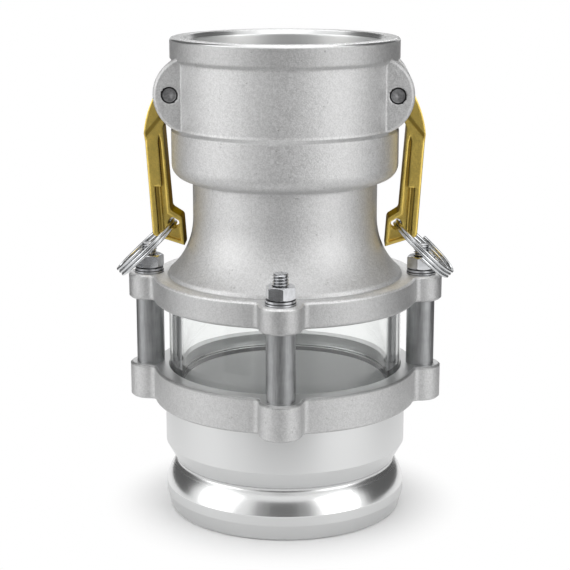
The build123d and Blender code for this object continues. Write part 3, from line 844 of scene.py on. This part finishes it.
class ArmsOperator(bpy.types.Operator):
    """Cam arms and their pins"""

    bl_idname = "sight_glass.arms"
    bl_label = "Cam arms"

    def execute(self, context):
        gold = brass()
        dark = pin_steel()
        for side in SIDES:
            dress("cam_arm_" + side, gold)
            node = "cam_pin_" + side
            piece("grooved_" + node, surface_mesh(node, [pin_surface(side)], cap_ends=True), dark, FITTING, [node])
        return {"FINISHED"}


class RingsOperator(bpy.types.Operator):
    """Pull rings"""

    bl_idname = "sight_glass.rings"
    bl_label = "Pull rings"

    def execute(self, context):
        ring = context.scene.glass_ring
        wire = drawn_steel("ring_wire", context.scene.glass_finish.wire, 0.2, 0.05 * MM, 0.5)
        for side in SIDES:
            node = "pull_ring_" + side
            grid = ring_surface(side, ring.wire, ring.gap)
            piece("split_ring_" + side, surface_mesh(node, [grid], cap_ends=True), wire, side + "_ring", [node])
        return {"FINISHED"}


class StudsOperator(bpy.types.Operator):
    """Threaded studs"""

    bl_idname = "sight_glass.studs"
    bl_label = "Studs"

    def execute(self, context):
        zinc = drawn_steel("stud_zinc", context.scene.glass_finish.zinc, 0.26, 0.05 * MM, 0.5, thread_groove_shade)
        thread = context.scene.glass_thread
        for bolt in BOLTS:
            node = "stud_" + bolt
            low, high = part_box(node)
            grid = stud_surface(node_centre(node), low[2], high[2], thread)
            piece("threaded_" + node, surface_mesh(node, [grid], cap_ends=True), zinc, FITTING, [node],
                  sharp=75.0)
        return {"FINISHED"}


class FastenersOperator(bpy.types.Operator):
    """Nuts, washers and sleeves"""

    bl_idname = "sight_glass.fasteners"
    bl_label = "Nuts, washers and sleeves"

    def execute(self, context):
        colours = context.scene.glass_finish
        zinc = drawn_steel("nut_zinc", colours.zinc, 0.17, 0.2 * MM, 0.05)
        washer_zinc = drawn_steel("washer_zinc", shade(colours.zinc, 0.85), 0.3, 0.3 * MM, 0.3, joint_darkening)
        tube = drawn_steel("sleeve_steel", colours.sleeve, 0.4, 0.25 * MM, 0.6)
        thread = context.scene.glass_thread
        low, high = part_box("hex_nuts")
        nuts = []
        for bolt in BOLTS:
            centre = node_centre("stud_" + bolt)
            outward = math.atan2(centre[1], centre[0])
            nuts.append(nut_surface(centre, low[2], high[2], STUD_RADIUS, outward, thread))
        piece("nuts", surface_mesh("nuts", nuts, closed_along=True), zinc, FITTING, ["hex_nuts"],
              sharp=25.0)
        for node in ("flat_washers", "lock_washers"):
            dress(node, washer_zinc)
        for bolt in BOLTS:
            dress("spacer_sleeve_" + bolt, tube)
        return {"FINISHED"}


class GlassOperator(bpy.types.Operator):
    """Glass cylinder and the seals"""

    bl_idname = "sight_glass.glass"
    bl_label = "Glass and seals"

    def execute(self, context):
        dress("glass_tube", clear_glass())
        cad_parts["glass_tube"].visible_shadow = False
        colour = context.scene.glass_finish.rubber
        grey = rubber("grey_seal", colour)
        for node in ("lower_glass_gasket", "upper_glass_gasket"):
            dress(node, grey)
        dress("coupler_gasket", rubber("black_seal", shade(colour, 0.25)))
        return {"FINISHED"}


class SightGlassPanel(bpy.types.Panel):
    """Lists the pieces and their settings"""

    bl_idname = "VIEW3D_PT_sight_glass"
    bl_label = "Sight Glass"
    bl_space_type = "VIEW_3D"
    bl_region_type = "UI"
    bl_category = "Sight Glass"

    def draw(self, context):
        layout = self.layout
        for operator in OPERATORS:
            layout.operator(operator.bl_idname)
        for group_name in GROUPS:
            group = getattr(context.scene, group_name)
            box = layout.box()
            for name in group.bl_rna.properties.keys():
                if name not in ("rna_type", "name"):
                    box.prop(group, name)


OPERATORS = (StageOperator, CastingsOperator, ArmsOperator, RingsOperator, StudsOperator, FastenersOperator,
             GlassOperator)
GROUPS = {"glass_view": ViewSettings, "glass_finish": FinishSettings, "glass_thread": ThreadSettings,
          "glass_ring": RingSettings}


def register():
    for group in GROUPS.values():
        bpy.utils.register_class(group)
    for name, group in GROUPS.items():
        setattr(bpy.types.Scene, name, bpy.props.PointerProperty(type=group))
    for operator in OPERATORS:
        bpy.utils.register_class(operator)
    bpy.utils.register_class(SightGlassPanel)


def unregister():
    bpy.utils.unregister_class(SightGlassPanel)
    for operator in reversed(OPERATORS):
        bpy.utils.unregister_class(operator)
    for name in GROUPS:
        delattr(bpy.types.Scene, name)
    for group in reversed(list(GROUPS.values())):
        bpy.utils.unregister_class(group)


def main():
    register()
    for operator in (bpy.ops.sight_glass.stage, bpy.ops.sight_glass.castings, bpy.ops.sight_glass.arms,
                     bpy.ops.sight_glass.rings, bpy.ops.sight_glass.studs, bpy.ops.sight_glass.fasteners,
                     bpy.ops.sight_glass.glass):
        operator()


if __name__ == "__main__":
    main()
